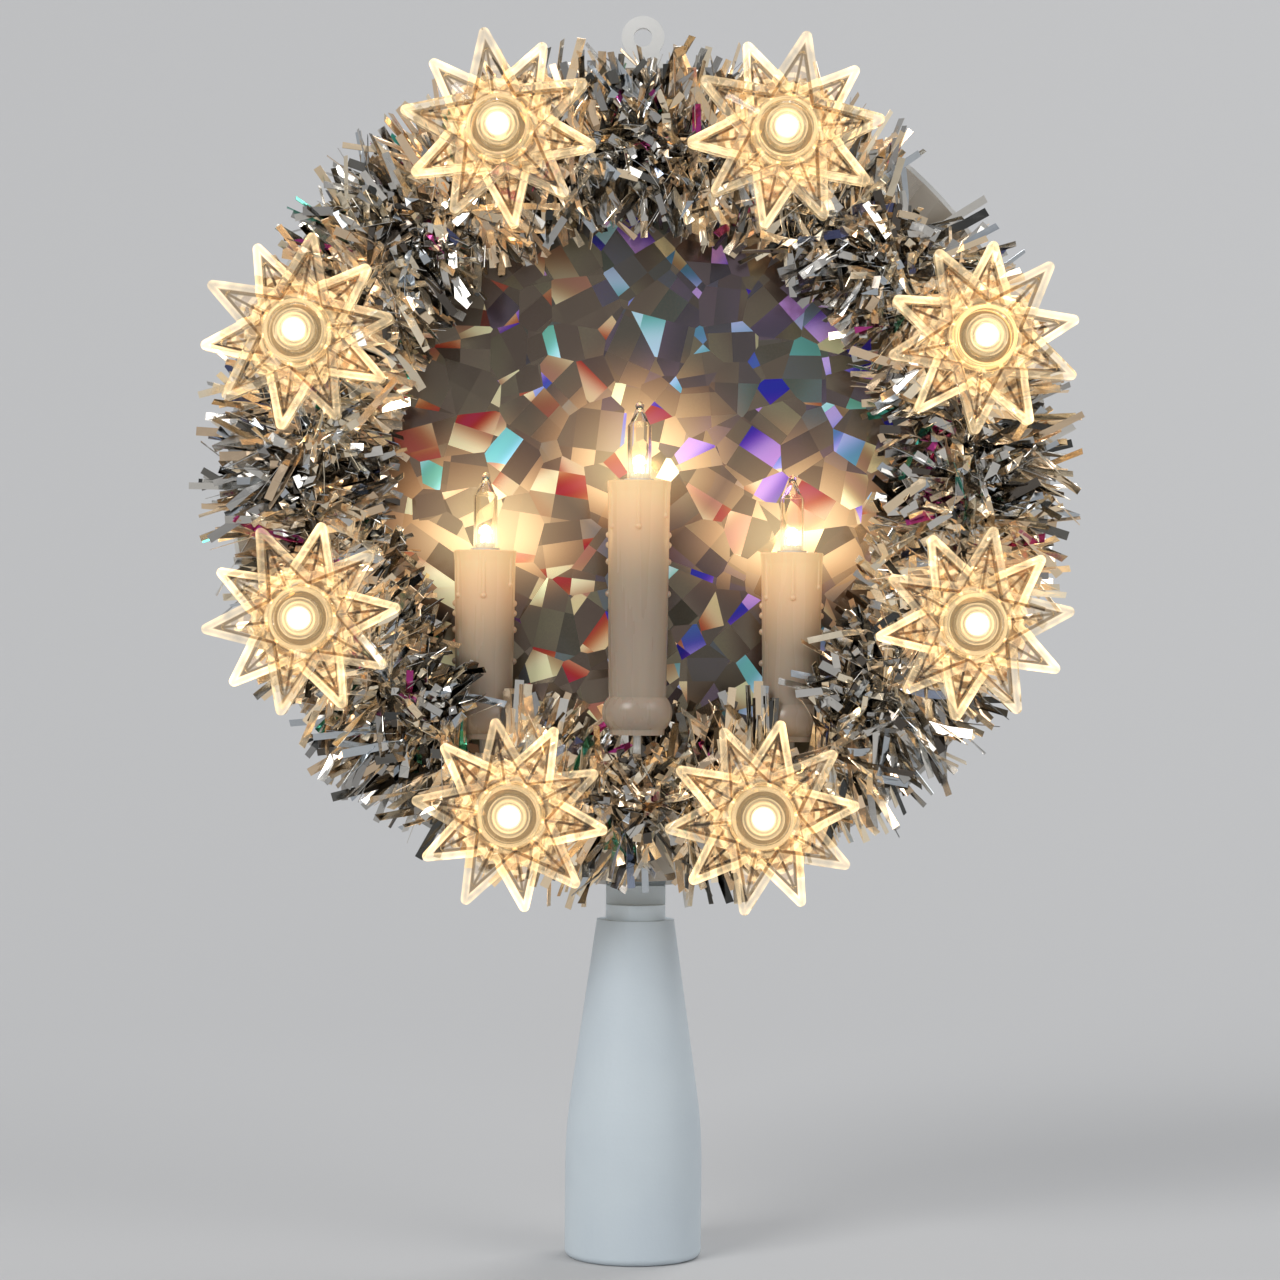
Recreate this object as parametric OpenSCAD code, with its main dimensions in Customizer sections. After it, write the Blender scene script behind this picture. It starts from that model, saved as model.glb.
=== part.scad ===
// Lighted wreath tree topper, in millimetres.
// The origin is the centre of the cone's mouth, +Z is up and the wreath faces -Y.
// A moulded plate carries lamp holders that reach forward through a tinsel garland. Each lamp in
// the ring wears a double star cover, and three candles with lamps of their own stand in the middle.

/* [Tree cone] */
// Height of the cone
cone_h = 79; // [70:1:95]
// Outer radius of the straight mouth of the cone
cone_mouth_r = 16; // [14.5:0.1:19]
// Height at which the straight mouth would meet the taper
cone_straight_h = 30; // [24:1:36]
// Wall of the cone
cone_wall = 2; // [1.6:0.1:2.6]
// Radius of the rounded outer edge at the mouth
cone_edge_r = 1.6; // [0.6:0.1:1.9]
// Radius of the soft bend between mouth and taper
cone_bend_r = 120; // [60:5:150]
// Length of the straight bore that takes the tree tip
tree_bore_len = 26; // [18:1:34]
// Wall around the stem at the cone's top
cone_collar_wall = 2; // [1.4:0.1:3]
// Depth of the stem's socket
socket_depth = 14; // [8:0.5:20]
// Thickness of the web that the stem stands on
cone_web = 2.5; // [1.5:0.1:4]

/* [Frame plate] */
// Radius of the stem
stem_r = 7; // [6:0.1:8]
// Length of stem that shows between cone and garland
neck_len = 4.3; // [3:0.1:8]
// Radius of the plate
plate_r = 96.5; // [92:0.5:104]
// Thickness of the plate
plate_t = 2; // [1.6:0.1:2.6]
// Width of the stiffening rim behind the plate
rim_w = 1.6; // [1.2:0.1:2.2]
// Height of the stiffening rim behind the plate
rim_h = 3; // [2:0.5:3.5]
// Distance of the inner stiffening ring inside the garland's inner edge
inner_ring_gap = 3; // [2.5:0.5:6]
// Height of the inner ring and the lamp bosses
boss_h = 3; // [2:0.5:3.5]
// Height of the radial ribs
rib_h = 2.4; // [1.2:0.1:2.8]
// Wall of the lamp bosses
boss_wall = 2; // [1.4:0.1:2.6]
// Distance of the lamp circle inside the plate's edge
lamp_inset = 12.5; // [11:0.5:14]
// Angle between the two lowest lamps, on both sides of the stem
low_pair_angle = 40; // [36:0.5:45]
// Height of the hanger eye above the plate's edge
hanger_reach = 6.2; // [5.6:0.1:9]
// Outer radius of the hanger eye
hanger_r = 5; // [4:0.1:6]
// Radius of the hanger's hole
hanger_hole_r = 2.2; // [1.5:0.1:2.8]

/* [Prismatic film] */
// Thickness of the film on the plate's front
film_t = 0.3; // [0.2:0.05:0.6]
// Bare edge of plate around the film
film_margin = 1; // [0.5:0.1:2]

/* [Tinsel garland] */
// Overhang of the garland's pile past the plate's edge
garland_overhang = 3.5; // [1:0.5:5]
// Width of the pile from its inner to its outer edge
garland_width = 46; // [42:0.5:48]
// Depth of the pile, front to back
garland_depth = 16; // [15:0.5:20]
// Radius of the garland's core wire
core_wire_r = 0.9; // [0.6:0.1:1.4]
// Distance of the core wire's ring inside the lamp circle
core_inset = 8; // [7:0.5:10]

/* [Lamps and holders] */
// Radius of the holder's body
holder_r = 4; // [3.7:0.05:4.4]
// Length of the holder's body in front of its flange
holder_len = 16; // [14:0.5:17]
// Radius of the holder's flange
holder_flange_r = 5.2; // [4.9:0.05:5.4]
// Thickness of the holder's flange
holder_flange_t = 1.5; // [1:0.1:2]
// Radius of the holder's tail
holder_tail_r = 3.2; // [2.9:0.05:3.5]
// Length of the holder's tail
holder_tail_len = 6.5; // [5:0.5:8]
// Radius of the push-in lamp base
lamp_base_r = 2.95; // [2.6:0.05:3.05]
// Depth that the lamp base goes into the holder
lamp_base_len = 9; // [7:0.5:10]
// Thickness of the lip on the lamp base
lamp_lip_t = 0.8; // [0.5:0.1:1.2]
// Radius of the lamp's glass
glass_r = 2.75; // [2.3:0.05:2.9]
// Height of the lamp's glass
glass_h = 17.6; // [15:0.2:20]
// Wall of the lamp's glass
glass_wall = 0.45; // [0.3:0.05:0.6]
// Height of the sealed point of the glass
glass_point_h = 5.6; // [4:0.2:7]

/* [Star covers] */
// Radius at which the star tips end
star_tip_r = 22.4; // [19:0.1:24]
// Radius of the round at each star tip
star_tip_round = 1.2; // [0.6:0.1:1.6]
// Radius of the notches between the tips
star_notch_r = 10.5; // [9.5:0.1:12]
// Width of the raised rim around a star
star_rim_w = 1.8; // [1.2:0.1:2.2]
// Height of a star's raised rim
star_rim_h = 4; // [3:0.1:5]
// Thickness of a star's floor
star_floor_t = 1; // [0.8:0.1:1.4]
// Height that the ridges would reach at the star's centre
star_ridge_h = 5; // [4:0.1:6.5]
// Distance between the two stars of a cover
star_pitch = 6.8; // [6:0.1:8]
// Radius of the hub that joins the two stars
star_hub_r = 7; // [6.8:0.1:8]
// Grip of the collar on the lamp holder
collar_grip = 6; // [3:0.5:7]
// Wall of the collar
collar_wall = 1.15; // [0.8:0.05:1.6]
// Height of the cup around the lamp's cap
cup_h = 5.5; // [4.5:0.1:6.5]
// Wall of the cup
cup_wall = 0.8; // [0.6:0.1:1]
// Wall of the clear cap over the lamp
cap_wall = 1; // [0.7:0.1:1.3]
// Step of the rings on the clear cap's front
cap_step = 0.3; // [0.2:0.05:0.5]

/* [Candles] */
// Radius of the candle sleeves at the top
sleeve_r = 7.1; // [6.9:0.1:7.5]
// Radius of the candle sleeves just above the bulge
sleeve_foot_r = 6.6; // [6.5:0.1:7.1]
// Wall of the candle sleeves at the top
sleeve_wall = 1.2; // [0.9:0.1:1.4]
// Height of the middle sleeve
sleeve_h_middle = 57.8; // [50:0.5:66]
// Height of the side sleeves
sleeve_h_side = 43.7; // [40:0.1:50]
// Thickness of the floor of a sleeve
sleeve_floor_t = 1; // [0.8:0.1:1.2]
// Radius of the bulge at the foot of a sleeve
bulge_r = 8; // [7.7:0.1:8]
// Height of the bulge
bulge_h = 10.2; // [9:0.1:12]
// Radius of the flat underside of the bulge
bulge_flat_r = 6.2; // [5.8:0.1:6.6]
// Spacing of the side candles from the middle
candle_spacing = 35.6; // [34:0.2:38]
// Distance of the middle candle's axis in front of the plate's mid plane
middle_forward = 24; // [20:0.5:28]
// Distance of the side candles' axes in front of the plate's mid plane
side_forward = 9.7; // [9.6:0.05:9.8]
// Depth of the middle candle's foot below the pile's inner edge
middle_sink = 6.4; // [6:0.2:8]
// Depth of the side candles' feet below the middle one's
side_sink = 1.6; // [0.4:0.2:2.6]
// Width of the bracket's arm
arm_w = 8; // [7:0.2:9]
// Height of the bracket's arm
arm_h = 5.5; // [4.5:0.1:6.5]

/* [Wiring] */
// Radius of the insulated wire
wire_r = 0.9; // [0.7:0.05:1]
// Bend radius of the wire
wire_bend_r = 4; // [3.6:0.1:6]

/* [Fits] */
// Running clearance of the stem in its socket
stem_fit = 0.06; // [0.03:0.01:0.1]
// Running clearance of a star's collar on its holder
star_fit = 0.05; // [0.03:0.01:0.1]
// Running clearance of a lamp base in its holder
lamp_fit = 0.08; // [0.04:0.01:0.1]
// Clearance of a holder in the plate
holder_fit = 0.15; // [0.1:0.05:0.3]
// Clearance of pieces that are pushed together and stay
push_fit = 0.05; // [0.03:0.01:0.1]
// Clearance of a bracket's tenon in its slot
tenon_fit = 0.15; // [0.1:0.05:0.3]
// Gap around the soft garland
soft_gap = 0.4; // [0.3:0.05:0.6]

/* [Hidden] */
$fn = 64;
star_count = 8;
star_points = 5;
tube_sides = 8;
bend_steps = 4;

// Radii around the wreath's centre, the centre's height and the angle from lamp to lamp.
lamp_ring_r = plate_r - lamp_inset;
core_ring_r = lamp_ring_r - core_inset;
garland_outer_r = plate_r + garland_overhang;
garland_inner_r = garland_outer_r - garland_width;
inner_ring_r = garland_inner_r - inner_ring_gap;
wreath_z = cone_h + neck_len + garland_outer_r;
star_step = (360 - low_pair_angle) / (star_count - 1);

// Radii of the cone.
cone_top_r = stem_r + stem_fit + cone_collar_wall;
socket_floor_z = cone_h - socket_depth;
tree_bore_r = cone_mouth_r - cone_wall;

// Stations along the lamp axes: distances in front of the plate's mid plane.
plate_front = plate_t / 2;
film_front = plate_front + film_t;
garland_back = film_front + soft_gap;
garland_front = garland_back + garland_depth;
holder_seat = -plate_front - boss_h;
holder_front = holder_seat + holder_len;
tail_end = holder_seat - holder_flange_t - holder_tail_len;
rear_star = garland_front + 1.5 * soft_gap;
front_star = rear_star + star_pitch;
hub_top = rear_star + star_rim_h;
glass_spigot_h = 1.2;
cap_gap = 0.5;
lamp_tip = holder_front + lamp_lip_t + glass_h;

// Radii around the lamp axis.
lamp_lip_step = 0.45;
lamp_way_gap = 0.2;
cap_room = 1.05;
spigot_wall = 1.8;
lamp_hole_r = holder_r + holder_fit;
lamp_bore_r = lamp_base_r + lamp_fit;
lamp_lip_r = lamp_base_r + lamp_lip_step;
collar_bore_r = holder_r + star_fit;
collar_r = collar_bore_r + collar_wall;
lamp_way_r = lamp_lip_r + lamp_way_gap;
cap_bore_r = glass_r + cap_room;
cap_r = cap_bore_r + cap_wall;
hub_spigot_r = lamp_way_r + spigot_wall;
hub_socket_r = hub_spigot_r + push_fit;
garland_hole_r = collar_r + soft_gap;

// One edge of a star runs from a notch to where it meets the round of the tip.
half_step = 180 / star_points;
tip_centre = [0, star_tip_r - star_tip_round];
notch = star_notch_r * [sin(half_step), cos(half_step)];
notch_way = notch - tip_centre;
tip_angle = atan2(notch_way[1], notch_way[0]) + acos(star_tip_round / norm(notch_way));
tip_steps = 6;
star_edge = tip_centre + star_tip_round * [cos(tip_angle), sin(tip_angle)] - notch;
star_edge_reach = abs(notch[0] * star_edge[1] - notch[1] * star_edge[0]) / norm(star_edge);
// The rim of a star is an even band, so its inner outline is the outer one made smaller.
star_inner_share = 1 - star_rim_w / star_edge_reach;
// How far each cover has been turned on its holder.
star_turns = [-12, 30, -10, 25, 9, 25, -10, 9];

// Candles, from left to right: name, spacing, distance in front, drop of the foot, height.
middle_drop = garland_inner_r + middle_sink;
side_drop = middle_drop + side_sink;
candles = [
    ["left", -candle_spacing, side_forward, side_drop, sleeve_h_side],
    ["middle", 0, middle_forward, middle_drop, sleeve_h_middle],
    ["right", candle_spacing, side_forward, side_drop, sleeve_h_side]
];
sleeve_bore_r = sleeve_r - sleeve_wall;
sleeve_top_gap = 0.3;
sleeve_lip = 0.25;
post_r = sleeve_bore_r - soft_gap;
post_bore_r = holder_tail_r + 2 * push_fit;
arm_lift = 0.2;
arm_z = sleeve_floor_t + arm_lift;
tenon_shoulder = 1;
tenon_w = arm_w - 2 * tenon_shoulder;
tenon_h = arm_h - 1.5 * tenon_shoulder;
tenon_z = arm_z + arm_h / 2;
barb_len = 2.2;
barb_step = 0.6;
tenon_end = plate_front + barb_len;
// Drops of wax down both sides of a sleeve: distances below its top.
wax_drops = [12.3, 14.6, 18.4, 25.7];
wax_drop_r = 0.8;
wax_runs = 6;

// The two wires of a candle leave its foot one behind the other and bend back to the plate.
wire_side = wire_r + 0.05;
lead_drop = 0.6;
lead_centre_y = wire_side + wire_bend_r;
function lead_radius(n) = lead_centre_y - n * wire_side;
function lead_z(n) = -lead_drop - lead_radius(n);
lead_gap = 0.3;
lead_straight = 0.5;
tail_wire_x = 1.4;
// The garland's core passes in front of the side candles' wires.
core_front = side_forward + wire_side + wire_r + soft_gap + core_wire_r;

node_names_once = ["tree_cone", "back_plate", "plate_stem", "prismatic_film", "garland_core",
                   "tinsel_garland", "wire_loom", "candle_leads", "star_lamp_bases", "star_filaments"];
star_nodes = ["lamp_holder_", "star_bulb_", "star_rear_", "star_front_"];
candle_nodes = ["candle_bracket_", "candle_holder_", "candle_sleeve_", "candle_lamp_base_",
                "candle_filament_", "candle_bulb_"];

// Frames

// The wreath's own frame: x to the right, y up, z towards the viewer.
module wreath() {
    translate([0, 0, wreath_z]) rotate([90, 0, 0]) children();
}

// Star number i is counted clockwise from the top. All but the lowest two are evenly apart.
function star_angle(i) =
    i <= star_count / 2 ? (i - 0.5) * star_step : 360 - (star_count + 0.5 - i) * star_step;
function star_place(i) = lamp_ring_r * [sin(star_angle(i)), cos(star_angle(i))];

module at_star(i) {
    wreath() translate(star_place(i)) children();
}

// A candle's frame stands on its foot, with +y towards the plate.
module at_candle(candle) {
    translate([candle[1], -candle[2], wreath_z - candle[3]]) children();
}

// Shapes that repeat

module tube(outer_r, inner_r, h) {
    difference() {
        cylinder(r = outer_r, h = h);
        translate([0, 0, -1]) cylinder(r = inner_r, h = h + 2);
    }
}

function turned(p, a) = [p[0] * cos(a) + p[1] * sin(a), p[1] * cos(a) - p[0] * sin(a)];

// One point of the star: the round of its tip from left to right, and the notch after it.
function star_tip(steps) = concat(
    [for (k = [steps : -1 : 0]) let (a = tip_angle + k * (180 - 2 * tip_angle) / steps)
        tip_centre + star_tip_round * [cos(a), sin(a)]],
    [notch]
);

module star_outline(share = 1, steps = tip_steps) {
    polygon([for (k = [0 : star_points - 1], p = star_tip(steps)) share * turned(p, 2 * k * half_step)]);
}

// A dished star: flat floor, raised rim, and a ridge along each point.
module dished_star() {
    difference() {
        linear_extrude(star_rim_h) star_outline();
        translate([0, 0, star_floor_t]) linear_extrude(star_rim_h) star_outline(star_inner_share);
    }
    translate([0, 0, star_floor_t / 2])
        linear_extrude(star_ridge_h, scale = 0) star_outline(star_inner_share * 1.01, 1);
}

function unit(v) = v / norm(v);

// One ring of a swept wire, square to the path at point k. The vector side lies across the path.
function wire_ring(path, k, r, side) =
    let (ahead = path[min(k + 1, len(path) - 1)], behind = path[max(k - 1, 0)],
         along = unit(ahead - behind), over = unit(cross(along, side)), across = cross(over, along))
    [for (s = [0 : tube_sides - 1])
        path[k] + r * (cos(s * 360 / tube_sides) * across + sin(s * 360 / tube_sides) * over)];

module wire(path, side) {
    rings = len(path);
    points = [for (k = [0 : rings - 1]) each wire_ring(path, k, wire_r, side)];
    walls = [for (k = [0 : rings - 2], s = [0 : tube_sides - 1])
        let (a = k * tube_sides + s, b = k * tube_sides + (s + 1) % tube_sides)
        [a, a + tube_sides, b + tube_sides, b]];
    first = [for (s = [0 : tube_sides - 1]) s];
    last = [for (s = [tube_sides - 1 : -1 : 0]) (rings - 1) * tube_sides + s];
    polyhedron(points, concat(walls, [first, last]));
}

// A wire behind the plate: back from one end, round a bend, across, and forward into the other.
function lead_path(from, to, bow) =
    let (flat = [to[0] - from[0], to[1] - from[1], 0], run = norm(flat), along = flat / run,
         aside = [-along[1], along[0], 0], r = wire_bend_r,
         back = min(from[2], to[2]) - lead_straight - r)
    concat(
        [from],
        [for (k = [0 : bend_steps]) let (a = k * 90 / bend_steps)
            [from[0], from[1], back + r] + r * (1 - cos(a)) * along - [0, 0, r * sin(a)]],
        [for (t = [0.2 : 0.2 : 0.8])
            [from[0], from[1], back] + (r + t * (run - 2 * r)) * along + bow * sin(t * 180) * aside],
        [for (k = [0 : bend_steps]) let (a = 90 - k * 90 / bend_steps)
            [to[0], to[1], back + r] - r * (1 - cos(a)) * along - [0, 0, r * sin(a)]],
        [to]
    );

module lead(from, to, bow = 0) {
    side = [from[1] - to[1], to[0] - from[0], 0];
    wire(lead_path(from, to, bow), unit(side));
}

// Tree cone

function cone_slope() = atan((cone_mouth_r - cone_top_r) / (cone_h - cone_straight_h));

module cone_outside() {
    slope = cone_slope();
    reach = cone_bend_r * tan(slope / 2);
    bend = [cone_mouth_r - cone_bend_r, cone_straight_h - reach];
    steps = 6;
    polygon(concat(
        [[0, 0], [cone_mouth_r - cone_edge_r, 0], [cone_mouth_r, cone_edge_r]],
        [for (k = [0 : steps]) bend + cone_bend_r * [cos(k * slope / steps), sin(k * slope / steps)]],
        [[cone_top_r, cone_h], [0, cone_h]]
    ));
    translate([cone_mouth_r - cone_edge_r, cone_edge_r]) circle(r = cone_edge_r);
}

module tree_cone() {
    web_z = socket_floor_z - cone_web;
    web_r = cone_mouth_r - (cone_mouth_r - cone_top_r) * (web_z - cone_straight_h)
        / (cone_h - cone_straight_h) - cone_wall;
    color("aliceblue") rotate_extrude() difference() {
        cone_outside();
        translate([-1, -1]) square([tree_bore_r + 1, tree_bore_len + 1]);
        polygon([[0, tree_bore_len - 0.1], [tree_bore_r, tree_bore_len - 0.1],
                 [tree_bore_r, tree_bore_len], [web_r, web_z], [0, web_z]]);
        translate([-1, socket_floor_z]) square([stem_r + stem_fit + 1, socket_depth + 1]);
        translate([-1000, -1]) square([1000, cone_h + 2]);
    }
}

// Frame plate

module stem_round(r) {
    spine_top = wreath_z - plate_r + 2 * stem_r;
    translate([0, 0, socket_floor_z]) cylinder(r = r, h = spine_top - socket_floor_z);
    translate([0, 0, spine_top]) sphere(r = r);
}

// All that lies in front of the given y, from height z upwards.
module stem_cut(y, z) {
    translate([-2 * stem_r, y - 2 * stem_r, z]) cube([4 * stem_r, 2 * stem_r, 8 * stem_r]);
}

// The stem is welded to the plate's back. It stays clear of the garland in front.
module plate_stem() {
    color("ghostwhite") difference() {
        stem_round(stem_r);
        stem_cut(-plate_front, wreath_z - garland_outer_r - 2 * soft_gap);
        stem_cut(plate_front, wreath_z - plate_r);
    }
}

module hanger_outline() {
    eye = [0, plate_r + hanger_reach];
    neck_w = 1.6 * hanger_r;
    fillet = 1.5;
    translate(eye) circle(r = hanger_r);
    translate([-neck_w / 2, plate_r - fillet]) square([neck_w, hanger_reach + fillet]);
    difference() {
        translate([-neck_w / 2 - fillet, plate_r - 2 * fillet])
            square([neck_w + 2 * fillet, 3 * fillet]);
        for (side = [-1, 1])
            translate([side * (neck_w / 2 + fillet), plate_r + fillet]) circle(r = fillet);
    }
}

module plate_ribs() {
    translate([0, 0, -plate_front - rim_h]) tube(plate_r, plate_r - rim_w, rim_h + plate_t / 2);
    translate([0, 0, -plate_front - boss_h])
        tube(inner_ring_r + rim_w, inner_ring_r, boss_h + plate_t / 2);
    for (k = [1 : star_count - 1])
        if (k != star_count / 2)
            rotate([0, 0, -(star_angle(k) + star_angle(k + 1)) / 2])
                translate([-rim_w / 2, inner_ring_r + rim_w / 2, -plate_front - rib_h])
                    cube([rim_w, plate_r - rim_w - inner_ring_r, rib_h + plate_t / 2]);
    for (i = [1 : star_count])
        translate(concat(star_place(i), -plate_front - boss_h))
            cylinder(r = lamp_hole_r + boss_wall, h = boss_h + plate_t / 2);
}

// Cuts for a bracket's tenon and for a candle's two wires, through what lies near the mid plane.
module candle_slots(candle, depth) {
    wire_w = 2 * wire_r + 2 * lead_gap;
    wire_low = lead_z(-1) - wire_r - lead_gap;
    wire_high = lead_z(1) + wire_r + lead_gap;
    at_candle(candle) {
        translate([-tenon_w / 2 - tenon_fit, candle[2] - depth, tenon_z - tenon_h / 2 - tenon_fit])
            cube([tenon_w + 2 * tenon_fit, 2 * depth, tenon_h + 2 * tenon_fit]);
        translate([-wire_w / 2, candle[2] - depth, wire_low])
            cube([wire_w, 2 * depth, wire_high - wire_low]);
    }
}

module back_plate() {
    color("ghostwhite") difference() {
        wreath() {
            translate([0, 0, -plate_front]) cylinder(r = plate_r, h = plate_t);
            translate([0, 0, -plate_front]) linear_extrude(plate_t) hanger_outline();
            plate_ribs();
        }
        difference() {
            stem_round(stem_r + push_fit);
            stem_cut(plate_front, 0);
        }
        for (i = [1 : star_count])
            at_star(i) translate([0, 0, -rim_h - 5]) cylinder(r = lamp_hole_r, h = rim_h + 10);
        for (candle = candles) candle_slots(candle, plate_t);
        wreath() translate([0, plate_r + hanger_reach, -plate_t])
            cylinder(r = hanger_hole_r, h = 2 * plate_t);
    }
}

module prismatic_film() {
    color("silver") difference() {
        wreath() translate([0, 0, plate_front]) cylinder(r = plate_r - film_margin, h = film_t);
        for (i = [1 : star_count]) at_star(i) cylinder(r = lamp_hole_r, h = 2 * film_front);
        for (candle = candles) candle_slots(candle, film_front + 1);
    }
}

// Tinsel garland

module garland_section() {
    end_r = garland_depth / 2;
    middle = garland_back + end_r;
    translate([garland_inner_r + end_r, middle]) circle(r = end_r);
    translate([garland_outer_r - end_r, middle]) circle(r = end_r);
    translate([garland_inner_r + end_r, garland_back])
        square([garland_outer_r - garland_inner_r - garland_depth, garland_depth]);
}

module core_section(r) {
    translate([core_ring_r, core_front]) circle(r = r);
}

module garland_core() {
    color("dimgray") wreath() rotate_extrude() core_section(core_wire_r);
}

// The pile parts around a candle's foot, its bracket and its wires.
module candle_pocket(candle) {
    at_candle(candle) {
        translate([0, 0, -soft_gap]) cylinder(r = bulge_r + soft_gap, h = candle[4]);
        translate([-arm_w / 2 - soft_gap, 0, arm_z - soft_gap])
            cube([arm_w + 2 * soft_gap, candle[2], arm_h + 2 * soft_gap]);
        translate([-wire_r - soft_gap, -wire_side - wire_r - soft_gap, lead_z(-1) - wire_r - soft_gap])
            cube([2 * wire_r + 2 * soft_gap, candle[2] + 2 * wire_side, -lead_z(-1) + wire_r + soft_gap]);
    }
}

module tinsel_garland() {
    color("gainsboro") difference() {
        wreath() rotate_extrude() difference() {
            garland_section();
            core_section(core_wire_r + soft_gap);
        }
        for (i = [1 : star_count]) at_star(i) cylinder(r = garland_hole_r, h = garland_front + 1);
        for (candle = candles) candle_pocket(candle);
    }
}

// Lamps: z = 0 is where the holder's flange seats, and +z is the way the lamp points.

module holder_shape() {
    barb_z = boss_h + plate_t + film_t + 2 * push_fit;
    barb_r_step = 0.45;
    difference() {
        union() {
            translate([0, 0, -holder_flange_t]) cylinder(r = holder_flange_r, h = holder_flange_t);
            cylinder(r = holder_r, h = holder_len);
            translate([0, 0, barb_z])
                cylinder(r1 = holder_r + barb_r_step, r2 = holder_r, h = 3 * barb_r_step);
            translate([0, 0, -holder_flange_t - holder_tail_len])
                cylinder(r = holder_tail_r, h = holder_tail_len + 0.5);
        }
        translate([0, 0, holder_len - lamp_base_len - 1]) cylinder(r = lamp_bore_r, h = lamp_base_len + 2);
    }
}

module lamp_base_shape() {
    spigot_r = glass_r - glass_wall - push_fit;
    translate([0, 0, holder_len - lamp_base_len]) cylinder(r = lamp_base_r, h = lamp_base_len + 0.1);
    translate([0, 0, holder_len]) cylinder(r = lamp_lip_r, h = lamp_lip_t);
    translate([0, 0, holder_len]) cylinder(r = spigot_r, h = lamp_lip_t + glass_spigot_h);
}

// Half outline of the sealed glass, drawn inwards by the given wall.
module glass_outline(inset) {
    r = glass_r - inset;
    shoulder = glass_h - glass_point_h;
    neck_r = max(glass_wall, 0.85 - inset);
    bead_r = neck_r + 0.15;
    neck_z = glass_h - 1.6 - 2 * inset;
    intersection() {
        union() {
            square([r, shoulder]);
            polygon([[0, shoulder - 0.1], [r, shoulder - 0.1], [r, shoulder],
                     [0.75 * r, shoulder + 1], [neck_r, neck_z], [0, neck_z]]);
            translate([0, glass_h - bead_r - 2 * inset]) circle(r = bead_r);
        }
        square([r + 1, glass_h + 1]);
    }
}

module glass_shape() {
    translate([0, 0, holder_len + lamp_lip_t]) rotate_extrude() difference() {
        glass_outline(0);
        glass_outline(glass_wall);
    }
}

// Two leads held by a glass bead, with the coiled filament across their ends.
module filament_shape() {
    seat = holder_len + lamp_lip_t + glass_spigot_h;
    lead_r = 0.2;
    lead_x = 0.75;
    lead_h = 2.6;
    coil_r = 0.34;
    for (side = [-1, 1]) translate([side * lead_x, 0, seat]) cylinder(r = lead_r, h = lead_h);
    translate([0, 0, seat + 0.5]) cylinder(r = lead_x + 2 * lead_r, h = 0.9);
    translate([-2 * lead_x, 0, seat + lead_h]) rotate([0, 90, 0]) cylinder(r = coil_r, h = 4 * lead_x);
}

module star_lamp_frame(i) {
    at_star(i) translate([0, 0, holder_seat]) children();
}

module candle_lamp_frame(candle) {
    at_candle(candle) translate([0, 0, candle[4] - sleeve_top_gap - holder_len]) children();
}

// Star covers: z is the distance in front of the plate's mid plane.

module star_rear(i) {
    collar_z = holder_front - collar_grip;
    color([0.98, 0.95, 0.86, 0.6]) at_star(i) rotate([0, 0, star_turns[i - 1] + half_step]) difference() {
        union() {
            translate([0, 0, rear_star]) dished_star();
            translate([0, 0, rear_star]) cylinder(r = star_hub_r, h = star_rim_h);
            translate([0, 0, hub_top - 0.5]) cylinder(r = hub_spigot_r, h = front_star - hub_top + 0.1);
            translate([0, 0, collar_z]) cylinder(r = collar_r, h = rear_star - collar_z + 0.5);
        }
        translate([0, 0, hub_top]) tube(2 * star_tip_r, hub_spigot_r, star_ridge_h);
        translate([0, 0, collar_z - 1]) cylinder(r = collar_bore_r, h = collar_grip + 1);
        translate([0, 0, collar_z]) cylinder(r = lamp_way_r, h = front_star);
    }
}

module star_front(i) {
    cap_floor = lamp_tip + cap_gap;
    cap_front = cap_floor + cap_wall;
    color([1, 0.97, 0.9, 0.6]) at_star(i) rotate([0, 0, star_turns[i - 1]]) difference() {
        union() {
            difference() {
                union() {
                    translate([0, 0, front_star]) dished_star();
                    translate([0, 0, hub_top]) cylinder(r = star_hub_r, h = front_star + cup_h - hub_top);
                }
                translate([0, 0, front_star + star_floor_t])
                    cylinder(r = star_hub_r - cup_wall, h = cup_h + star_ridge_h);
            }
            translate([0, 0, front_star]) cylinder(r = cap_r, h = cap_front - front_star);
            for (k = [1 : 3])
                translate([0, 0, cap_floor]) cylinder(r = cap_r * (1 - k / 4), h = cap_wall + k * cap_step);
        }
        translate([0, 0, hub_top - 1]) cylinder(r = hub_socket_r, h = front_star - hub_top + 1);
        translate([0, 0, hub_top]) cylinder(r = cap_bore_r, h = cap_floor - hub_top);
    }
}

// Candles

// A hollow post in the sleeve, on an arm whose tenon snaps into the plate.
module bracket(candle) {
    to_film = candle[2] - film_front;
    to_plate_back = candle[2] + plate_front;
    post_top = candle[4] - sleeve_top_gap - holder_len - holder_flange_t;
    color("ivory") at_candle(candle) difference() {
        union() {
            translate([0, 0, arm_z]) cylinder(r = post_r, h = post_top - arm_z);
            translate([-arm_w / 2, 0, arm_z]) cube([arm_w, to_film, arm_h]);
            translate([-tenon_w / 2, 0, tenon_z - tenon_h / 2])
                cube([tenon_w, candle[2] + tenon_end, tenon_h]);
            translate([-tenon_w / 2, to_plate_back + 0.1, tenon_z - tenon_h / 2 - barb_step])
                cube([tenon_w, tenon_end - plate_front - 0.1, tenon_h + 2 * barb_step]);
        }
        translate([0, 0, arm_z - 1]) cylinder(r = post_bore_r, h = post_top - arm_z + 2);
    }
}

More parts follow.
